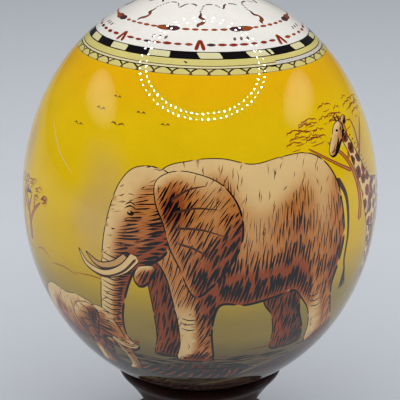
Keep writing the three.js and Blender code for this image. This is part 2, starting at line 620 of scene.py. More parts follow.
def engraved(draw, outline, tone, lean, bow=0.0, pitch=1.15, inks=(CREAM, ORANGE, RUST), start=0.24):
    """A washed shape with rust strokes beside black ones, which meet where it is darkest."""
    body = draw.fill(outline, wash(tone, *inks))
    rust, black = (RUST, start - 0.06, 0.95, 0.5, 7), (BLACK, start, 0.88, 1.05, 11)
    draw.hatch(outline, tone, lean, pitch, bow, (rust, black), body)
    return body


def wrinkles(draw, outline, tone, lean, count, body):
    """Fine short lines where the skin is light."""
    low, high = outline.min(0), outline.max(0)
    for _ in range(count):
        spot = np.array([[draw.rng.uniform(low[0], high[0]), draw.rng.uniform(low[1], high[1])]])
        turn, half = math.radians(lean + draw.rng.gauss(0, 13)), draw.rng.uniform(0.8, 2.4)
        way = half * np.array([math.cos(turn), math.sin(turn)])
        bend = draw.rng.uniform(-0.25, 0.25) * way[::-1]
        if tone(spot)[0] < 0.4 and inside(spot, outline)[0]:
            path = spot + np.array([-way, bend, way])
            widths = (0.1, draw.rng.uniform(0.22, 0.4), 0.1)
            draw.stroke(path, widths, mix(BRICK, BLACK, draw.rng.random()), body)


def limb(draw, points, lean, width, spots=(), dim=0.0, fine=0, **style):
    """One part of an animal: washed, hatched and outlined. Spots are (x, y, width, height, darkness)."""
    outline = draw.shape(points)
    across, up = draw.size
    tones = [bulge(outline, width * up), even(dim)]
    tones += [blot(x * across, y * up, w * up, h * up, amount) for x, y, w, h, amount in spots]
    tone, lean = layered(*tones), lean * np.sign(across)
    body = engraved(draw, outline, tone, lean, **style)
    wrinkles(draw, outline, tone, lean, round(fine * up), body)
    contour(draw, outline, 0.5 + 0.5 * up)
    return body, outline


def crease(draw, points, widths=(0.2, 0.55, 0.2), colour=BLACK, within=None):
    draw.stroke(draw.line(points), widths, colour, within)


def dot(draw, x, y, length, height, colour=BLACK, sides=10):
    """A small oval, such as an eye."""
    draw.fill((lens(length, height, sides) + (x, y)) * draw.size, colour)


FAR = dict(inks=(TAN, RUST, SEPIA))  # the coat of the legs on an animal's far side
COAT = dict(inks=(CREAM, CREAM, TAN), start=0.5)  # a pale coat, for patches or stripes
HAIRS = 7


def behind(draw, legs, lean, width, dim, tail, widths, tip, hair):
    """The far legs, each with its shift from the given outline, and the tail with the hairs at its end."""
    for points, shift in legs:
        limb(draw, np.array(points) + shift, lean, width, dim=dim, **FAR)
    crease(draw, tail, widths, SEPIA)
    x, y = tip
    for _ in range(HAIRS):
        sway = draw.rng.uniform(-0.25, 0.25) * hair
        crease(draw, [(x, y), (x + sway / 3, y - hair / 2), (x + sway, y - hair)], (0.5, 0.8, 0.3))


def elephant(draw):
    """An elephant in side view, facing west, with its feet at y 0 and its middle at x 0."""
    fore = [(-15, 50), (-5, 50), (-1, 38), (-1, 20), (-0.5, 2), (-2, 0), (-11, 0), (-12.5, 2.5), (-12, 10),
            (-13, 20), (-15, 32), (-17, 42)]
    hind = [(30, 52), (42, 50), (46, 38), (43, 28), (42, 18), (44, 9), (44, 2), (42, 0), (33, 0), (31.5, 3),
            (32, 10), (31, 18), (28, 24), (26, 36)]
    tail = [(46, 64), (51, 56), (52, 44), (50.5, 34), (51.5, 28)]
    legs = ((fore, (-8, 2.5)), (hind, (-12, 2.5)))
    behind(draw, legs, 80, 6, 0.27, tail, (2.0, 1.5, 1.1, 0.9), (51, 31), 10)

    limb(draw, [
        (-18, 73), (-8, 77), (2, 77.5), (12, 75), (22, 76), (32, 75.5), (40, 71), (46, 63), (49, 52),
        (49.5, 42), (47, 33), (44.5, 26), (45, 18), (47, 9), (47.3, 2), (45, 0), (36, 0), (34.5, 3), (35, 10),
        (34, 18), (31, 24), (27, 29), (20, 28), (10, 26.5), (2, 27.5), (-0.5, 24), (-1.5, 16), (-1, 8),
        (-0.5, 2), (-2, 0), (-11, 0), (-12.7, 2.5), (-12, 10), (-13, 20), (-15, 30), (-17, 38), (-21, 46),
        (-23, 58)],
        78, 15, bow=0.004, fine=330, spots=(
            (8, 34, 22, 9, 0.36), (28, 52, 7, 16, 0.24), (-2, 50, 6, 20, 0.42), (18, 64, 14, 7, -0.2),
            (39, 58, 6, 12, -0.16), (12, 50, 9, 8, -0.08), (-8, 16, 4, 12, -0.16), (39, 20, 4, 14, -0.12),
            (30, 30, 5, 8, 0.25), (2, 66, 6, 8, 0.12)))
    for x in (-10.8, -8, -5, 37, 40, 43):
        crease(draw, [(x - 0.9, 0.5), (x - 0.8, 2), (x + 0.1, 2.6), (x + 0.9, 1.8), (x + 0.9, 0.5)], 0.35)
    for x, y in ((-12, 22), (-12.5, 20), (-12, 17.5), (34.5, 20), (34, 22.5), (33, 25)):
        crease(draw, [(x, y), (x + 2.5, y - 1.1), (x + 6, y - 0.6)])

    limb(draw, [
        (-21, 74.5), (-15, 72.5), (-11, 66), (-12, 55), (-17, 46), (-22, 42), (-26, 40), (-28.5, 37),
        (-31, 29), (-32.3, 20), (-31.5, 12), (-29, 7.5), (-26.5, 5.5), (-27.5, 2.8), (-32, 1.6), (-36.5, 4),
        (-39.5, 10), (-40.6, 20), (-40.4, 32), (-39.6, 43), (-38.2, 52), (-35.8, 60), (-32.5, 67.5),
        (-27.5, 73)],
        12, 8, fine=150, spots=(
            (-26, 56, 5, 6, 0.14), (-30, 44, 5, 8, 0.3), (-31, 63, 4, 7, -0.18), (-38, 34, 2.5, 14, -0.1),
            (-18, 50, 6, 9, 0.34)))
    for k in range(17):
        y = 10 + 2.1 * k
        left = -40.2 + max(0, y - 40) * 0.12
        right = -32 + max(0, y - 26) * 0.2
        crease(draw, [(left, y), ((left + right) / 2, y - 1.4), (right, y + 0.3)])

    limb(draw, [(-26, 40.5), (-28, 36), (-25.5, 33), (-22, 36), (-20.5, 41)], 60, 3, dim=0.2)
    up = draw.size[1]
    for points, colour in (([(-30, 43), (-35, 39.5), (-41, 38.5), (-46.5, 42)], TAN),
                           ([(-27, 44), (-32, 38.5), (-39, 35.5), (-46, 37.5), (-49.5, 42.5)], CREAM)):
        tusk = draw.line(points, 0.7)
        draw.stroke(tusk, np.array([4.4, 3.9, 3.2, 2.2, 0.6]) * up)
        draw.stroke(tusk[:-1], np.array([3.6, 3.1, 2.4, 1.4, 0.2]) * up, colour)
        draw.stroke(tusk[:-2] + (0, -0.9 * up), np.array([0.9, 0.8, 0.6, 0.2]) * up, SEPIA)

    limb(draw, [
        (-19.5, 70), (-13, 73.5), (-5, 72.5), (2.5, 68.5), (7.5, 60.5), (8.2, 51), (4.5, 42.5), (-1, 35.5),
        (-6.5, 30.5), (-9.5, 33.5), (-12.3, 41), (-15.5, 48), (-17.5, 56), (-20, 63)],
        62, 9, bow=-0.006, dim=0.13, fine=90, spots=(
            (-14, 62, 4, 9, 0.42), (-1, 60, 7, 9, -0.16), (-6, 40, 4, 8, 0.22), (2, 47, 4, 7, 0.2)))
    for x, y, x2, y2 in ((-15, 64, -3, 69), (-14.5, 60, 1, 61), (-14, 55, 3, 52), (-13, 50, 0, 43)):
        crease(draw, [(x, y), ((x + x2) / 2, (y + y2) / 2 + 1.2), (x2, y2)], (0.9, 0.7, 0.2), SEPIA)

    dot(draw, -28.5, 58.5, 2.6, 1.7)
    dot(draw, -28.9, 58.9, 0.8, 0.6, CREAM, 6)
    for y, wide in ((60.4, 2.4), (61.6, 2.0), (56.6, 2.4), (55.4, 1.9), (54, 1.4)):
        rise = 0.6 if y > 58 else -0.6
        crease(draw, [(-28.5 - wide, y - 0.7), (-28.5, y + rise), (-28.5 + wide, y - 0.5)])


def patches(draw, body, outline, cell):
    """Uneven dark patches over one part, with the pale coat left as a net between them."""
    low, high = outline.min(0), outline.max(0)
    for row, y in enumerate(np.arange(low[1], high[1] + cell, cell * 0.87)):
        for x in np.arange(low[0] + row % 2 * cell / 2, high[0] + cell, cell):
            centre = np.array([x, y]) + [draw.rng.uniform(-0.13, 0.13) * cell for _ in range(2)]
            turns = (np.arange(6) + draw.rng.random()) * TURN / 6
            reach = cell * np.array([draw.rng.uniform(0.36, 0.52) for _ in range(6)])
            patch = centre + np.stack([reach * np.cos(turns), reach * np.sin(turns)], -1)
            if inside(patch, outline).any():
                draw.fill(patch, mix(RUST, SEPIA, draw.rng.uniform(0, 0.7)), body)
                way = np.array([(-0.2, -0.24), (0.02, 0), (0.24, 0.2)]) * cell
                draw.stroke(centre + way, (0.2, 0.2 * cell, 0.2), BLACK, body)


def giraffe(draw):
    """A giraffe facing west, feet at y 0 and horns at y 102."""
    fore = [(-13, 52), (-6, 50), (-6.4, 38), (-7.6, 28), (-7.2, 23), (-8.2, 12), (-8, 3), (-7, 0), (-10.8, 0),
            (-11, 3), (-10.4, 12), (-10.8, 23), (-11.6, 28), (-12.6, 40)]
    hind = [(9, 48), (20, 50), (20.5, 42), (17.5, 34), (16.4, 28), (17, 18), (16.6, 4), (17.6, 0), (13.4, 0),
            (13.2, 4), (13.6, 16), (12.4, 25), (11, 34)]
    cell = 6.4 * draw.size[1]
    legs = ((fore, (4.5, 1.5)), (hind, (-5, 1.5)))
    tail = [(20.5, 52), (23, 44), (22.5, 34)]
    behind(draw, legs, 84, 3, 0.3, tail, (1.2, 0.8, 0.6), (22.5, 35), 8)
    for points in (fore, hind):
        body, outline = limb(draw, points, 84, 3, spots=((0, 4, 40, 14, -0.2),), **COAT)
        patches(draw, body, outline[outline[:, 1] > 0.2 * outline[:, 1].max()], cell * 0.7)
    neck = [(-15, 52), (-17.5, 64), (-20, 76), (-22.5, 88), (-24, 94), (-21, 97), (-18.4, 93), (-15.4, 84),
            (-11, 74), (-6, 67), (-4, 62), (-9, 54)]
    trunk = [(-15, 50), (-14.5, 58), (-9, 64), (-3, 66), (6, 62.5), (14, 58.5), (19, 54), (21, 48), (19, 42),
             (12, 43), (4, 41.5), (-4, 42.5), (-11, 45)]
    for points in (trunk, neck):
        patches(draw, *limb(draw, points, 76, 7, **COAT), cell)
    for k in range(12):
        x, y = -18.6 + 0.95 * k, 94 - 2.3 * k
        crease(draw, [(x, y), (x + 1.6, y + 1.2), (x + 2.4, y + 0.6)], 0.5, SEPIA)
    for x, lean in ((-21, -0.6), (-19.4, 0.4)):
        crease(draw, [(x, 97), (x + lean, 100), (x + lean, 102)], (1.3, 0.9, 1.4), SEPIA)
    limb(draw, [(-18.5, 97.5), (-15, 100), (-13.2, 98.6), (-17, 95.8)], 30, 2, dim=0.1)
    limb(draw, [(-19.5, 98.5), (-24, 98), (-28, 94.5), (-33, 89.8), (-34.6, 87), (-33, 85.2), (-29, 86.4),
                (-24.6, 89.6), (-20.5, 92), (-18.6, 95)], 40, 4, inks=(CREAM, TAN, ORANGE))
    dot(draw, -24, 95, 1.9, 1.3)
    crease(draw, [(-33.6, 86.8), (-31, 87.4), (-29.5, 88)], 0.35)


def zebra(draw):
    """A zebra facing west, feet at y 0 and back at y 56."""
    fore = [(-19, 40), (-11, 38), (-12, 28), (-13.5, 20), (-13, 12), (-13.4, 4), (-12.4, 0), (-16.8, 0),
            (-17, 4), (-16.2, 12), (-17.2, 20), (-18, 28)]
    hind = [(14, 42), (26, 44), (25, 34), (21, 26), (21.5, 18), (21, 5), (22, 0), (17.4, 0), (17.4, 5),
            (17, 15), (15.5, 23), (13, 32)]
    legs = ((fore, (5, 1.5)), (hind, (-6, 1.5)))
    tail = [(25.5, 50), (29, 42), (28.5, 32)]
    behind(draw, legs, 84, 3, 0.3, tail, (1.6, 1.0, 0.8), (28.5, 33), 10)
    for points in (fore, hind):
        body, _ = limb(draw, points, 84, 3, **COAT)
        middle = np.mean(points, axis=0)[0]
        for y in range(3, 40, 4):
            way = [(middle - 7, y + 1), (middle, y - 0.6), (middle + 7, y + 1)]
            crease(draw, way, (0.2, 1.3, 0.2), BLACK, body)
    body, _ = limb(draw, [
        (-20, 48), (-14, 55), (-4, 56), (6, 55), (16, 57), (23, 54), (26, 46), (24, 36), (18, 32), (8, 29),
        (-4, 28.5), (-14, 31), (-20, 37)], 80, 9, **COAT)
    for k in range(12):
        x = -20 + 4 * k
        turn = max(0, k - 6) * 1.6
        way = [(x - 1 - turn, 59), (x + 0.6, 50), (x + 1.4 + turn, 40), (x + 0.5 + 1.6 * turn, 27)]
        crease(draw, way, (0.6, 2.1, 1.7, 0.4), BLACK, body)
    body, _ = limb(draw, [
        (-21, 41), (-27, 52), (-32, 60), (-33, 66), (-28.5, 70), (-23, 67.5), (-16, 61), (-10, 55),
        (-12, 46)], 60, 7, **COAT)
    for k in range(7):
        x, y = -30 + 3.1 * k, 62 - 3.2 * k
        crease(draw, [(x - 4, y - 3), (x + 1, y + 2.6), (x + 6, y + 9)], (0.5, 1.9, 1.1), BLACK, body)
    for k in range(12):
        x, y = -27 + 1.6 * k, 70 - 1.35 * k
        crease(draw, [(x, y - 0.5), (x + 1.3, y + 2), (x + 2.2, y + 3.6)], (0.9, 1.0, 0.3))
    body, _ = limb(draw, [
        (-29, 71), (-33, 69), (-38.5, 61), (-42.5, 53.5), (-42.8, 50.5), (-39.5, 49.5), (-35.5, 52.5),
        (-31, 57), (-27.5, 62), (-26.6, 67)], 50, 5, spots=((-42, 51, 3, 3, 0.7),), **COAT)
    for k in range(4):
        x, y = -38.5 + 2.6 * k, 56 + 3.1 * k
        crease(draw, [(x - 3, y + 3), (x, y), (x + 1.5, y - 3.5)], (0.2, 1.0, 0.3), BLACK, body)
    crease(draw, [(-29, 70), (-28.5, 74), (-26.6, 75.5), (-26.2, 71)], (1.2, 1.8, 1.0))
    dot(draw, -34.5, 64, 1.7, 1.2)


def ostrich(draw):
    """An ostrich facing west, feet at y 0 and head at y 80."""
    up = draw.size[1]
    for x, y in ((3, 1.5), (-3, 0)):
        leg = [(x + 4, 34), (x + 5.5, 26), (x + 1, 18), (x + 0.6, 8), (x, 1)]
        crease(draw, leg, np.array((5.5, 4.0, 2.2, 1.8, 1.6)) * up, SEPIA)
        crease(draw, leg, np.array((4.4, 2.9, 1.2, 0.9, 0.7)) * up, TAN)
        crease(draw, [(x - 4.5, y), (x - 1, y + 1.2), (x + 1.5, y + 0.6)], (0.6, 1.1, 0.5))
    neck = [(-10, 42), (-15.5, 46), (-17, 54), (-15.6, 63), (-16.4, 71), (-19.5, 77)]
    widths = np.array((6, 4, 3, 2.6, 2.8, 3.2)) * up
    crease(draw, neck, widths + 0.7)
    crease(draw, neck, widths, ORANGE)
    limb(draw, [(-17.5, 79), (-20, 80.6), (-23, 79.4), (-28, 77.3), (-23.4, 76.2), (-19.5, 75)], 20, 3)
    dot(draw, -21.2, 78.6, 1.6, 1.3)
    for k in range(12):
        y = 46 - 1.3 * k
        tip = (27 + draw.rng.uniform(0, 3), y - 3 + draw.rng.uniform(-2, 1))
        way = [(16, y), (22, y + 1.6), tip]
        crease(draw, way, (0.8, 2.4, 1.2, 0.3), SEPIA)
        crease(draw, way, (0.3, 1.7, 0.8, 0.2), CREAM)
    limb(draw, [(-15, 40), (-11, 50), (0, 55), (11, 53), (19, 47), (21, 39), (17, 32), (8, 28), (-3, 28.5),
                (-11, 33)], 12, 9, dim=0.33, inks=(ORANGE, RUST, SEPIA), pitch=1.05)
    for _ in range(16):
        x, y = draw.rng.uniform(-9, 12), draw.rng.uniform(33, 50)
        crease(draw, [(x, y), (x + 3, y + 0.5), (x + 6, y - 1.4)], (0.3, 0.9, 0.2), ORANGE)


def acacia(draw):
    """A flat-topped tree in open line, with its foot at y 0 and its crown about 27 to 38 up."""
    for way, width in (
        ([(0, 0), (1.2, 6), (0.4, 13), (-2.5, 20), (-9, 27)], 2.2),
        ([(0.6, 10), (4, 17), (9, 23), (15, 28)], 1.4),
        ([(-1.2, 16), (-9, 21), (-17, 27)], 1.1),
        ([(-2, 19), (1, 25), (2, 30)], 1.0),
        ([(6, 20), (7, 26), (6, 30)], 0.8),
    ):
        widths = np.array((1, 0.8, 0.6, 0.3)) * width
        crease(draw, way, widths + 0.35, BRICK)
        crease(draw, way, widths * 0.6, ORANGE)
    for _ in range(34):
        u = draw.rng.uniform(-1, 1)
        x, y = 22 * u, 28 + 9 * math.sqrt(1 - u * u) * draw.rng.random()
        wide = draw.rng.uniform(3.5, 7)
        lumps = [(x + wide * (i / 6 - 0.5), y + math.sin(math.pi * i / 6) + 0.7 * (i % 2)) for i in range(7)]
        crease(draw, lumps, (0.2, 0.55, 0.3, 0.55, 0.2), BRICK if draw.rng.random() < 0.6 else RUST)
        crease(draw, [(x - wide * 0.3, y - 0.9), (x, y - 1.1), (x + wide * 0.3, y - 0.8)], 0.3, RUST)


def bird(draw, x, y, span):
    for side in (-1, 1):
        wing = [(x, y), (x + side * span * 0.28, y + span * 0.2), (x + side * span / 2, y + span * 0.06)]
        crease(draw, wing, (0.35, 0.6, 0.15), SEPIA)


def tuft(draw, tall, colour):
    """Blades of dry grass that fan out from one spot."""
    for _ in range(draw.rng.randint(4, 8)):
        lean = draw.rng.uniform(-0.7, 0.7)
        top = tall * draw.rng.uniform(0.6, 1)
        foot = lean * tall * 0.3
        blade = np.array([(foot, 0), (foot + lean * top * 0.35, top * 0.6), (foot + lean * top, top)])
        draw.stroke(blade, (0.3, 0.5, 0.15), colour)


def shadow(draw, reach, depth):
    """Close level strokes on the ground under an animal."""
    for _ in range(round(1.3 * reach)):
        x, y = draw.rng.gauss(0, reach / 2.4), draw.rng.uniform(-depth, 1)
        half = draw.rng.uniform(3, 7)
        path = np.array([(x - half, y), (x, y + draw.rng.uniform(-0.3, 0.3)), (x + half, y)])
        draw.stroke(path, (0.2, draw.rng.uniform(0.5, 0.9), 0.2))


GROUND_TOP, GROUND_DEPTH = -34, 34
GROUND_STROKES, TUFTS = 260, 90
MOUNDS, MOUND_ROWS = 8, (-46, -59)  # how many in each row, and the rows' arcs
MOUND = ((-21, -5), (-17, 1), (-10, 3.5), (-2, 6), (7, 4), (14, 2.5), (20, -2), (22, -7), (8, -9), (-10, -9))


def mound(draw):
    """A low bank of earth and scrub, dark and closely hatched."""
    outline = draw.shape([(x, y + draw.rng.uniform(-1.2, 1.2)) for x, y in MOUND], 2.5)
    tone = layered(bulge(outline, 7 * draw.size[1]), even(0.18))
    engraved(draw, outline, tone, 58, 0.01, 2.6, (EARTH, SHADE, SHADE))
    contour(draw, outline, 0.8)


def ground():
    """Broken level strokes round the shell, darker and closer towards its foot, banks and dry grass."""
    rng = random.Random(31)
    for k in range(GROUND_STROKES):
        depth = rng.random() ** 0.75
        spot = Drawing(rng.uniform(-180, 180), GROUND_TOP - GROUND_DEPTH * depth)
        half = rng.uniform(2.5, 7)
        bend = rng.uniform(-0.5, 0.5)
        path = spot.line([(-half, 0), (0, bend), (half, rng.uniform(-0.3, 0.3))], 3.5)
        widths = (0.15, rng.uniform(0.35, 0.6) + 0.6 * depth, 0.15)
        spot.stroke(path, widths, mix(BRICK, BLACK, ramp(depth, 0.05, 0.4)))
    for row, row_arc in enumerate(MOUND_ROWS):
        for k in range(MOUNDS):
            degrees = (k + row / 2) * 360 / MOUNDS + rng.uniform(-6, 6)
            arc, scale = row_arc + rng.uniform(-2, 2), rng.uniform(0.75, 1.0)
            mound(Drawing(degrees, arc, scale, k % 2, seed=100 * row + k))
    for k in range(TUFTS):
        depth = rng.random()
        spot = Drawing(rng.uniform(-180, 180), GROUND_TOP + 2 - GROUND_DEPTH * depth, seed=k)
        tuft(spot, rng.uniform(2, 4.5), mix(BRICK, BLACK, ramp(depth, 0.2, 0.8)))


def hills(start, end, arc, seed):
    """A low far ridge in broken line."""
    rng = random.Random(seed)
    degrees = start
    while degrees < end:
        spot = Drawing(degrees, arc + rng.uniform(-0.8, 0.8))
        half = rng.uniform(5, 9)
        path = spot.line([(-half, 0), (0, rng.uniform(1, 2.6)), (half, 0)], 1.5)
        spot.stroke(path, (0.15, 0.45, 0.15), RUST)
        degrees += rng.uniform(6, 13)


FOLDS = (  # degrees and arc of one end, then the run east and up to the other
    (-62, 39, 20, -14), (60, 39, -10, -10), (-140, 30, 7, -14), (150, 12, -5, -18), (-100, 46, 9, -12))
HILLS = ((-118, -28, -9, 41), (84, 230, -11, 42))  # degrees of both ends, arc and seed
ACACIAS = (  # degrees, arc, scale and seed
    (57, 4, 1.15, 21), (-66, -7, 0.62, 22), (176, -4, 1.3, 23), (-122, -6, 1.0, 24))
FLOCK = (  # east, up and span
    (0, 0, 5.5), (-8, 4, 4.2), (7, 5, 3.6), (-3, 9, 3.2), (16, 2, 3.4), (-16, -3, 4.6))
HERD = (  # degrees, arc, scale, whether it faces east, and half the length of its shadow
    (giraffe, 100, -31, 0.56, True, 12), (ostrich, -82, -40, 0.66, True, 12),
    (ostrich, -104, -44, 0.5, False, 9), (zebra, 129, -38, 0.84, True, 22),
    (zebra, -152, -37, 0.84, True, 22), (zebra, 168, -44, 1.0, False, 26),
    (giraffe, 72, -35, 0.76, False, 15), (elephant, 5, -40, 0.98, False, 46),
    (elephant, -42, -52, 0.44, True, 20))


def folds():
    """Faint pale lines where the printed paper is creased."""
    for degrees, arc, east, up in FOLDS:
        spot = Drawing(degrees, arc)
        path = spot.line([(0, 0), (east * 0.5, up * 0.6), (east, up)], 2.5)
        spot.stroke(path, (0.2, 0.5, 0.4, 0.2), mix(YELLOW, CREAM, 0.6))


def picture():
    """Savanna animals all the way round, from far to near."""
    folds()
    for ridge in HILLS:
        hills(*ridge)
    for degrees, arc, scale, seed in ACACIAS:
        acacia(Drawing(degrees, arc, scale, seed=seed))
    for x, y, span in FLOCK:
        bird(Drawing(-30, 44), x, y, span)
        bird(Drawing(140, 40), 1.5 * y, x, span)
    ground()
    for animal, degrees, arc, scale, mirror, reach in HERD:
        draw = Drawing(degrees, arc, scale, mirror, seed=round(arc * 10 + degrees))
        shadow(draw, reach, 3 + 3 * scale)
        animal(draw)


picture()

# ---------------------------------------------------------------- the paper's own colour, and painted shade towards the foot

HAZE = (  # degrees, arc, and half sizes of the pale patches in the sky
    (-27, 14, 14, 21), (66, 16, 9, 28), (-74, 27, 8, 13), (118, 8, 20, 18), (-128, 12, 18, 20),
    (178, 24, 14, 14))
CLOUD = (0.9, 2.1, 3)  # dimension, lacunarity and octaves of the noise
CLOUD_SCALE = 38  # per metre


def field(points, places):
    """Sky over ground, with pale patches, and darker below the equator, partly as printed ground and partly
    as painted shade. The noise is read in space, so it has no seam.
    """
    x, arc = points.T
    cloud = np.array([noise.fractal(Vector(p) * CLOUD_SCALE, *CLOUD) for p in places])
    colour = mix(np.broadcast_to(YELLOW, (len(arc), 3)), GOLD, ramp(arc, 40, 62))
    colour = mix(colour, OCHRE, ramp(-arc, -22, 8))
    for degrees, height, wide, tall in HAZE:
        east = (x - math.radians(degrees) * EGG_RADIUS + GIRTH / 2) % GIRTH - GIRTH / 2
        far = np.hypot(east / wide, (arc - height) / tall) - 0.5 * cloud
        colour = mix(colour, SAND, 0.85 * ramp(-far, -1.2, -0.2))
    # painted shade: the olive darkening below the equator is partly printed ground and partly the shade of
    # the lower half, which faces away from the light
    colour = mix(colour, OLIVE, ramp(-arc, 0, 24))
    colour = mix(colour, EARTH, ramp(-arc + 6 * cloud, 26, 42))
    return mix(colour, SHADE, ramp(-arc + 4 * cloud, 44, 64))


# ---------------------------------------------------------------- the egg's mesh

NEAR = 1e-3  # points of the sheet that are closer than this are one


def grid_points():
    """Rows of points over the sheet, fewer where the shell is narrow, and the sheet's own edge."""
    low, high = LOWEST + TIP, HIGHEST - TIP
    rows = np.linspace(low, high, round((high - low) / CELL) + 1)
    points = []
    for k, arc in enumerate(rows):
        count = max(8, 2 * round(TURN * shell_radius(arc) / CELL / 2))
        shift = 0.5 if k % 2 and 0 < k < len(rows) - 1 else 0
        x = (np.arange(count) + shift) / count * GIRTH - GIRTH / 2
        points += [(a, arc) for a in x if a > -GIRTH / 2 + NEAR]
        points += [(-GIRTH / 2, arc), (GIRTH / 2, arc)]
    return points, (low, high)


def triangulate():
    """Triangles over the whole sheet that follow every mark, and the mark on top of each."""
    points, (low, high) = grid_points()
    left, right = -GIRTH / 2, GIRTH / 2
    faces = []
    marks = sheet.in_sight()
    for mark in marks:
        outline = sheet.outlines[mark]
        faces.append(list(range(len(points), len(points) + len(outline))))
        points += [(min(max(x, left), right), min(max(y, low), high)) for x, y in outline]
    made = delaunay_2d_cdt([Vector(p) for p in points], [], faces, 0, NEAR)
    flat, triangles, covers = np.array([tuple(v) for v in made[0]]), made[2], made[5]
    top = []
    for cover in covers:
        here = [marks[k] for k in cover]
        groups = {sheet.groups[mark] for mark in here}
        shown = (mark for mark in here if sheet.within[mark] is None or sheet.within[mark] in groups)
        top.append(max(shown, default=-1))
    return flat, np.array(triangles), np.array(top), (low, high)


def weld(flat, triangles, ends):
    """Joins the sheet's left and right edges, and closes both ends with a fan."""
    left = np.flatnonzero(np.abs(flat[:, 0] + GIRTH / 2) < NEAR)
    right = np.flatnonzero(np.abs(flat[:, 0] - GIRTH / 2) < NEAR)
    left = left[np.argsort(flat[left, 1])]
    right = right[np.argsort(flat[right, 1])]
    if len(left) != len(right):
        raise ValueError(f"the seam's sides differ: {len(left)} and {len(right)} points")
    same = np.arange(len(flat) + 2)
    same[right] = left
    fans = []
    for pole, end, turn in ((len(flat), ends[0], 1), (len(flat) + 1, ends[1], -1)):
        rim = np.flatnonzero(np.abs(flat[:, 1] - end) < NEAR)
        rim = rim[np.argsort(flat[rim, 0])][::turn]
        fans += [(a, pole, b) for a, b in zip(rim, rim[1:])]
    return same, np.array(fans)


def shell_mesh():
    flat, triangles, top, ends = triangulate()
    same, fans = weld(flat, triangles, ends)
    flat = np.concatenate([flat, [(0, LOWEST), (0, HIGHEST)]])
    places, normals = on_shell(flat[:, 0], flat[:, 1])

    shades = np.zeros((len(triangles), 3, 3))
    paper = field(flat, places)
    for mark in np.unique(top):
        found = np.flatnonzero(top == mark)
        corners = triangles[found]
        if mark < 0:
            shades[found] = paper[corners]
        elif callable(sheet.paints[mark]):
            shades[found] = sheet.paints[mark](flat[corners.ravel()]).reshape(-1, 3, 3)
        else:
            shades[found] = sheet.paints[mark]

    tips = np.where(flat[fans][:, 1, 1, None, None] > 0, WHITE, paper[-2])
    shades = np.concatenate([shades, np.broadcast_to(tips, (len(fans), 3, 3))])
    corners = np.concatenate([triangles, fans])
    spots = np.stack([flat[corners, 0] / GIRTH + 0.5, (flat[corners, 1] - LOWEST) / (HIGHEST - LOWEST)], -1)
    spots[len(triangles):, 1, 0] = spots[len(triangles):, (0, 2), 0].mean(1)

    joined = same[corners]
    used, faces = np.unique(joined, return_inverse=True)
    mesh = bpy.data.meshes.new("egg_shell")
    mesh.from_pydata(places[used], [], faces.reshape(-1, 3).tolist())
    mesh.uv_layers.new(name="OFBake").data.foreach_set("uv", spots.ravel())
    colours = np.concatenate([shades, np.ones((*shades.shape[:2], 1))], -1)
    mesh.attributes.new("print", "FLOAT_COLOR", "CORNER").data.foreach_set("color", colours.ravel())
    mesh.shade_smooth()
    exact = mesh.attributes.new("custom_normal", "FLOAT_VECTOR", "POINT")
    exact.data.foreach_set("vector", normals[used].astype(np.float32).ravel())
    print("egg faces", len(mesh.polygons), "marks", len(sheet.outlines))
    return mesh


# ---------------------------------------------------------------- materials


class Nodes:
    """Short calls for building a material."""

    def __init__(self, name):
        self.material = bpy.data.materials.new(name)
        self.material.use_nodes = True
        self.tree = self.material.node_tree
        self.shader = self.tree.nodes["Principled BSDF"]

    def node(self, kind, **settings):
        made = self.tree.nodes.new("ShaderNode" + kind)
        for name, value in settings.items():
            setattr(made, name, value)
        return made

    def link(self, start, end):
        self.tree.links.new(start, end)

    def noise(self, scale, detail, roughness=0.5, stretch=None):
        """Noise in the object's own space, in metres."""
        place = self.node("TexCoord").outputs["Object"]
        if stretch:
            turn = self.node("Mapping")
            turn.inputs["Scale"].default_value = stretch
            self.link(place, turn.inputs["Vector"])
            place = turn.outputs["Vector"]
        made = self.node("TexNoise")
        made.inputs["Scale"].default_value = scale
        made.inputs["Detail"].default_value = detail
        made.inputs["Roughness"].default_value = roughness
        self.link(place, made.inputs["Vector"])
        return made.outputs["Fac"]

    def spread(self, value, low, high, start=0.3, end=0.7):
        """value from start to end becomes low to high."""
        made = self.node("MapRange")
        for name, number in (("From Min", start), ("From Max", end), ("To Min", low), ("To Max", high)):
            made.inputs[name].default_value = number
        self.link(value, made.inputs["Value"])
        return made.outputs["Result"]

    def bump(self, height, distance, under=None):
        """Relief of this many metres, on top of the relief under it."""
        made = self.node("Bump")
        made.inputs["Distance"].default_value = distance
        made.inputs["Strength"].default_value = 1.0
        self.link(height, made.inputs["Height"])
        if under:
            self.link(under, made.inputs["Normal"])
        return made.outputs["Normal"]

    def mixed(self, first, second, share, blend="MIX"):
        made = self.node("Mix", data_type="RGBA", blend_type=blend)
        for socket, value in ((made.inputs[0], share), (made.inputs[6], first), (made.inputs[7], second)):
            if isinstance(value, (int, float)):
                socket.default_value = value
            elif isinstance(value, (tuple, list, np.ndarray)):
                socket.default_value = (*value[:3], 1)
            else:
                self.link(value, socket)
        return made.outputs[2]

    def set(self, **values):
        for name, value in values.items():
            self.shader.inputs[name.replace("_", " ")].default_value = value


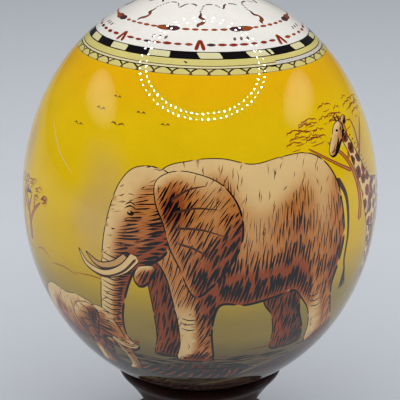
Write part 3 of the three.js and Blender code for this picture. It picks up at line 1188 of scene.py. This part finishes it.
def lacquered_print():
    """Printed tissue on the shell, under a thick clear gloss coat that isn't quite even."""
    m = Nodes("lacquered_shell")
    printed = m.node("Attribute", attribute_name="print").outputs["Color"]
    mottle = m.spread(m.noise(90, 3), 0.96, 1.03)
    grain = m.spread(m.noise(2200, 2), 0.965, 1.03)
    shade = m.node("Math", operation="MULTIPLY")
    m.link(mottle, shade.inputs[0])
    m.link(grain, shade.inputs[1])
    value = m.node("CombineColor")
    for socket in value.inputs:
        m.link(shade.outputs[0], socket)
    colour = m.mixed(printed, value.outputs[0], 1.0, "MULTIPLY")
    m.link(colour, m.shader.inputs["Base Color"])
    waves = m.bump(m.noise(34, 1), 0.00016)
    peel = m.bump(m.noise(240, 2), 0.000012, under=waves)
    m.link(peel, m.shader.inputs["Coat Normal"])
    pores = m.bump(m.noise(900, 2), 0.00002, under=waves)
    m.link(pores, m.shader.inputs["Normal"])
    m.set(Roughness=0.5, Specular_IOR_Level=0.0, Coat_Weight=1.0, Coat_Roughness=0.008, Coat_IOR=1.5)
    return m.material


def dark_wood():
    """Close-grained hardwood, stained nearly black with red in it, and rubbed to a satin polish."""
    m = Nodes("dark_wood")
    fibre = m.noise(900, 5, 0.6, stretch=(1, 1, 0.06))
    band = m.noise(160, 3, 0.55, stretch=(1, 1, 0.12))
    colour = m.mixed(ink(26, 15, 14), ink(58, 27, 21), m.spread(band, 0, 1))
    colour = m.mixed(colour, ink(11, 8, 9), m.spread(fibre, 0, 0.75, 0.5, 0.72))
    m.link(colour, m.shader.inputs["Base Color"])
    m.link(m.spread(fibre, 0.36, 0.52), m.shader.inputs["Roughness"])
    m.link(m.bump(fibre, 0.00012), m.shader.inputs["Normal"])
    m.set(Specular_IOR_Level=0.35, Coat_Weight=0.15, Coat_Roughness=0.2)
    return m.material


# ---------------------------------------------------------------- the stand

stand_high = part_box("stand")[1]
STAND_HEIGHT = stand_high[2] / MM
FOOT_RADIUS = stand_high[0] / MM
FOOT_BAND, FOOT_BEVEL = 3.6, 0.8
SEAT_RADIUS, SEAT_GAP = 28.0, 0.3  # the gap keeps the seat clear of the egg
RIM_RADIUS, RIM_DROP, RIM_UNDER, RIM_TUCK = 31.9, 1.8, 2.8, 0.3
WAIST_RADIUS, WAIST_HEIGHT = 19.5, 13.0
# How far the hollow's curve is pulled along at its waist, and inward and along at its two ends.
WAIST_PULL, FOOT_PULL, RIM_PULL = 4.0, (8.0, 1.2), (5.0, 6.0)
STAND_SEGMENTS = 192
BEVEL_STEPS, LOWER_STEPS, UPPER_STEPS, RIM_STEPS, SEAT_STEPS = 4, 16, 24, 12, 16


def bezier(start, start_pull, end_pull, end, steps):
    t = np.linspace(0, 1, steps + 1)[:, None]
    a, b, c, d = (np.array(p) for p in (start, start_pull, end_pull, end))
    return a * (1 - t) ** 3 + 3 * b * t * (1 - t) ** 2 + 3 * c * t**2 * (1 - t) + d * t**3


def stand_outline():
    """Radius and height from the foot's centre, round the outside, to the seat's centre."""
    bevel = np.linspace(-math.pi / 2, 0, BEVEL_STEPS + 1)
    across = FOOT_RADIUS - FOOT_BEVEL + FOOT_BEVEL * np.cos(bevel)
    lower = np.stack([across, FOOT_BEVEL + FOOT_BEVEL * np.sin(bevel)], -1)
    top = FOOT_BAND - FOOT_BEVEL / 2
    upper = [(FOOT_RADIUS, FOOT_BAND - 1.5 * FOOT_BEVEL), (FOOT_RADIUS - FOOT_BEVEL / 2, top)]
    foot_top = (FOOT_RADIUS - 2 * FOOT_BEVEL, FOOT_BAND)
    rim_bottom = (RIM_RADIUS - RIM_TUCK, STAND_HEIGHT - RIM_UNDER)
    waist = (WAIST_RADIUS, WAIST_HEIGHT)
    foot_pull = (FOOT_RADIUS - FOOT_PULL[0], FOOT_BAND + FOOT_PULL[1])
    rim_pull = (rim_bottom[0] - RIM_PULL[0], rim_bottom[1] - RIM_PULL[1])
    hollow = np.concatenate([
        bezier(foot_top, foot_pull, (WAIST_RADIUS, WAIST_HEIGHT - WAIST_PULL), waist, LOWER_STEPS),
        bezier(waist, (WAIST_RADIUS, WAIST_HEIGHT + WAIST_PULL), rim_pull, rim_bottom, UPPER_STEPS)[1:],
    ])
    t = np.linspace(0, math.pi / 2, RIM_STEPS + 1)[:-1]
    width = RIM_RADIUS - SEAT_RADIUS
    rim = np.stack([SEAT_RADIUS + width * np.cos(t), STAND_HEIGHT - RIM_DROP * (1 - np.sin(t))], -1)
    low = angles[:ANGLE_STEPS // 2]
    seat_edge = np.interp(SEAT_RADIUS, egg_side(low, SEAT_GAP), low)
    turned = np.linspace(seat_edge, -math.pi / 2, SEAT_STEPS + 1)[:-1]
    height = EGG_CENTRE + (EGG_HALF + SEAT_GAP) * np.sin(turned)
    seat = np.stack([egg_side(turned, SEAT_GAP), height], -1)
    return np.concatenate([lower, upper, hollow, rim, seat])


def stand_mesh():
    """The outline turned about Z, closed at both ends by a fan."""
    outline = stand_outline()
    turn = np.arange(STAND_SEGMENTS) * TURN / STAND_SEGMENTS
    rings = [np.stack([r * np.cos(turn), r * np.sin(turn), np.full_like(turn, z)], -1) for r, z in outline]
    seat_centre = EGG_CENTRE - EGG_HALF - SEAT_GAP
    places = np.concatenate([*rings, [(0, 0, 0), (0, 0, seat_centre)]]) * MM
    n, last = STAND_SEGMENTS, (len(outline) - 1) * STAND_SEGMENTS
    faces = []
    for low in range(0, last, n):
        high = low + n
        faces += [(low + i, low + (i + 1) % n, high + (i + 1) % n, high + i) for i in range(n)]
    faces += [((i + 1) % n, i, len(places) - 2) for i in range(n)]
    faces += [(last + i, last + (i + 1) % n, len(places) - 1) for i in range(n)]
    mesh = bpy.data.meshes.new("turned_stand")
    mesh.from_pydata(places, [], faces)
    mesh.shade_smooth()
    return mesh


def piece(name, mesh, material, node):
    made = bpy.data.objects.new(name, mesh)
    bpy.context.scene.collection.objects.link(made)
    mesh.materials.append(material)
    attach(made, "root")
    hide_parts(node)
    return made


piece("printed_egg", shell_mesh(), lacquered_print(), "egg")
piece("turned_stand", stand_mesh(), dark_wood(), "stand")

# ---------------------------------------------------------------- floor, light and camera

FLOOR_SIZE = 6.0
FLOOR_DROP = 0.0002  # keeps it clear of the stand's underside
FLOOR_COLOUR = ink(200, 203, 207)


def floor():
    paint = Nodes("pale_floor")
    paint.set(Base_Color=(*FLOOR_COLOUR, 1), Roughness=0.6)
    bpy.ops.mesh.primitive_plane_add(size=FLOOR_SIZE, location=(0, 0, -FLOOR_DROP))
    made = bpy.context.object
    made.name = "floor"
    made.data.materials.append(paint.material)


AIM = Vector((0, 0, 0.1))  # the spot that every light points at


def lamp(name, kind, place, energy, size):
    data = bpy.data.lights.new(name, kind)
    data.energy = energy
    if kind == "AREA":
        data.size = size
    else:
        data.shadow_soft_size = size
    made = bpy.data.objects.new(name, data)
    made.location = place
    made.rotation_euler = (Vector(place) - AIM).to_track_quat("Z", "Y").to_euler()
    bpy.context.scene.collection.objects.link(made)
    return made


LIGHT_RISE, FILL_RISE = 0.678, 0.4  # above the egg's centre
LIGHT_HEIGHT = EGG_CENTRE * MM + LIGHT_RISE
RING_CENTRE = (0.023, -0.142, LIGHT_HEIGHT)  # of the two rows of small lamps over the egg
RING_ROWS = (0.478, 0.421)  # their radii
RING_LAMPS, RING_LAMP_SIZE = 52, 0.0062
RING_POWER = 22.0
SIDE_PLACE = (1.0, 0.04, LIGHT_HEIGHT)
SIDE_SIZE = (0.84, 0.35)
SIDE_POWER = 0.85
SIDE_SHARES = (0.5, 0.65, 0.8, 0.9, 1.0, 1.1)  # each side light is this many ovals, for a soft edge
SIDE_GAP = 0.01  # between one oval and the next, so that they add up in a reflection
FILL_PLACE = (1.1, -0.45, EGG_CENTRE * MM + FILL_RISE)
FILL_SIZE, FILL_POWER = 0.7, 2.3
ROOM_COLOUR = (0.8, 0.85, 0.92, 1)
ROOM_LIGHT, ROOM_IN_GLOSS = 0.46, 0.08


def room():
    """An even room that is dimmer in reflections than as light."""
    world = bpy.data.worlds.new("studio")
    world.use_nodes = True
    tree = world.node_tree
    ray = tree.nodes.new("ShaderNodeLightPath")
    strength = tree.nodes.new("ShaderNodeMapRange")
    strength.inputs["To Min"].default_value = ROOM_LIGHT
    strength.inputs["To Max"].default_value = ROOM_IN_GLOSS
    tree.links.new(ray.outputs["Is Glossy Ray"], strength.inputs["Value"])
    tree.links.new(strength.outputs["Result"], tree.nodes["Background"].inputs["Strength"])
    tree.nodes["Background"].inputs["Color"].default_value = ROOM_COLOUR
    bpy.context.scene.world = world


def lights():
    """A ring of small lamps overhead, a softbox and an unmirrored fill on each side, and an even dim room."""
    room()
    for side in (-1, 1):
        x, y, z = FILL_PLACE
        fill = lamp(f"fill_{side + 1}", "AREA", (side * x, y, z), FILL_POWER, FILL_SIZE)
        fill.visible_glossy = False
        x, y, z = SIDE_PLACE
        for k, share in enumerate(SIDE_SHARES):
            power = SIDE_POWER * share**2 / sum(other**2 for other in SIDE_SHARES)
            place = (side * (x + k * SIDE_GAP), y, z)
            oval = lamp(f"side_{side + 1}_{k}", "AREA", place, power, SIDE_SIZE[0] * share)
            oval.data.shape = "ELLIPSE"
            oval.data.size_y = SIDE_SIZE[1] * share
    x, y, z = RING_CENTRE
    for row, radius in enumerate(RING_ROWS):
        for i in range(RING_LAMPS):
            turn = TURN * i / RING_LAMPS
            place = (x + radius * math.cos(turn), y + radius * math.sin(turn), z)
            lamp(f"ring_{row}_{i}", "POINT", place, RING_POWER / RING_LAMPS / 2, RING_LAMP_SIZE)


VIEW_DISTANCE = 7.0 * EGG_RADIUS * MM  # from the egg's centre
VIEW_ELEVATION = 22.96
VIEW_LENS, VIEW_SENSOR = 110.7, 36  # millimetres
VIEW_DROP = 0.405  # degrees by which the camera looks below the egg's centre


def camera():
    data = bpy.data.cameras.new("view")
    data.lens = VIEW_LENS
    data.sensor_width = VIEW_SENSOR
    made = bpy.data.objects.new("view", data)
    rise = math.radians(VIEW_ELEVATION)
    centre = Vector((0, 0, EGG_CENTRE * MM))
    made.location = centre + VIEW_DISTANCE * Vector((0, -math.cos(rise), math.sin(rise)))
    made.rotation_euler = (math.radians(90 - VIEW_ELEVATION - VIEW_DROP), 0, 0)
    bpy.context.scene.collection.objects.link(made)
    bpy.context.scene.camera = made


floor()
lights()
camera()
bpy.context.scene.view_settings.view_transform = "Standard"
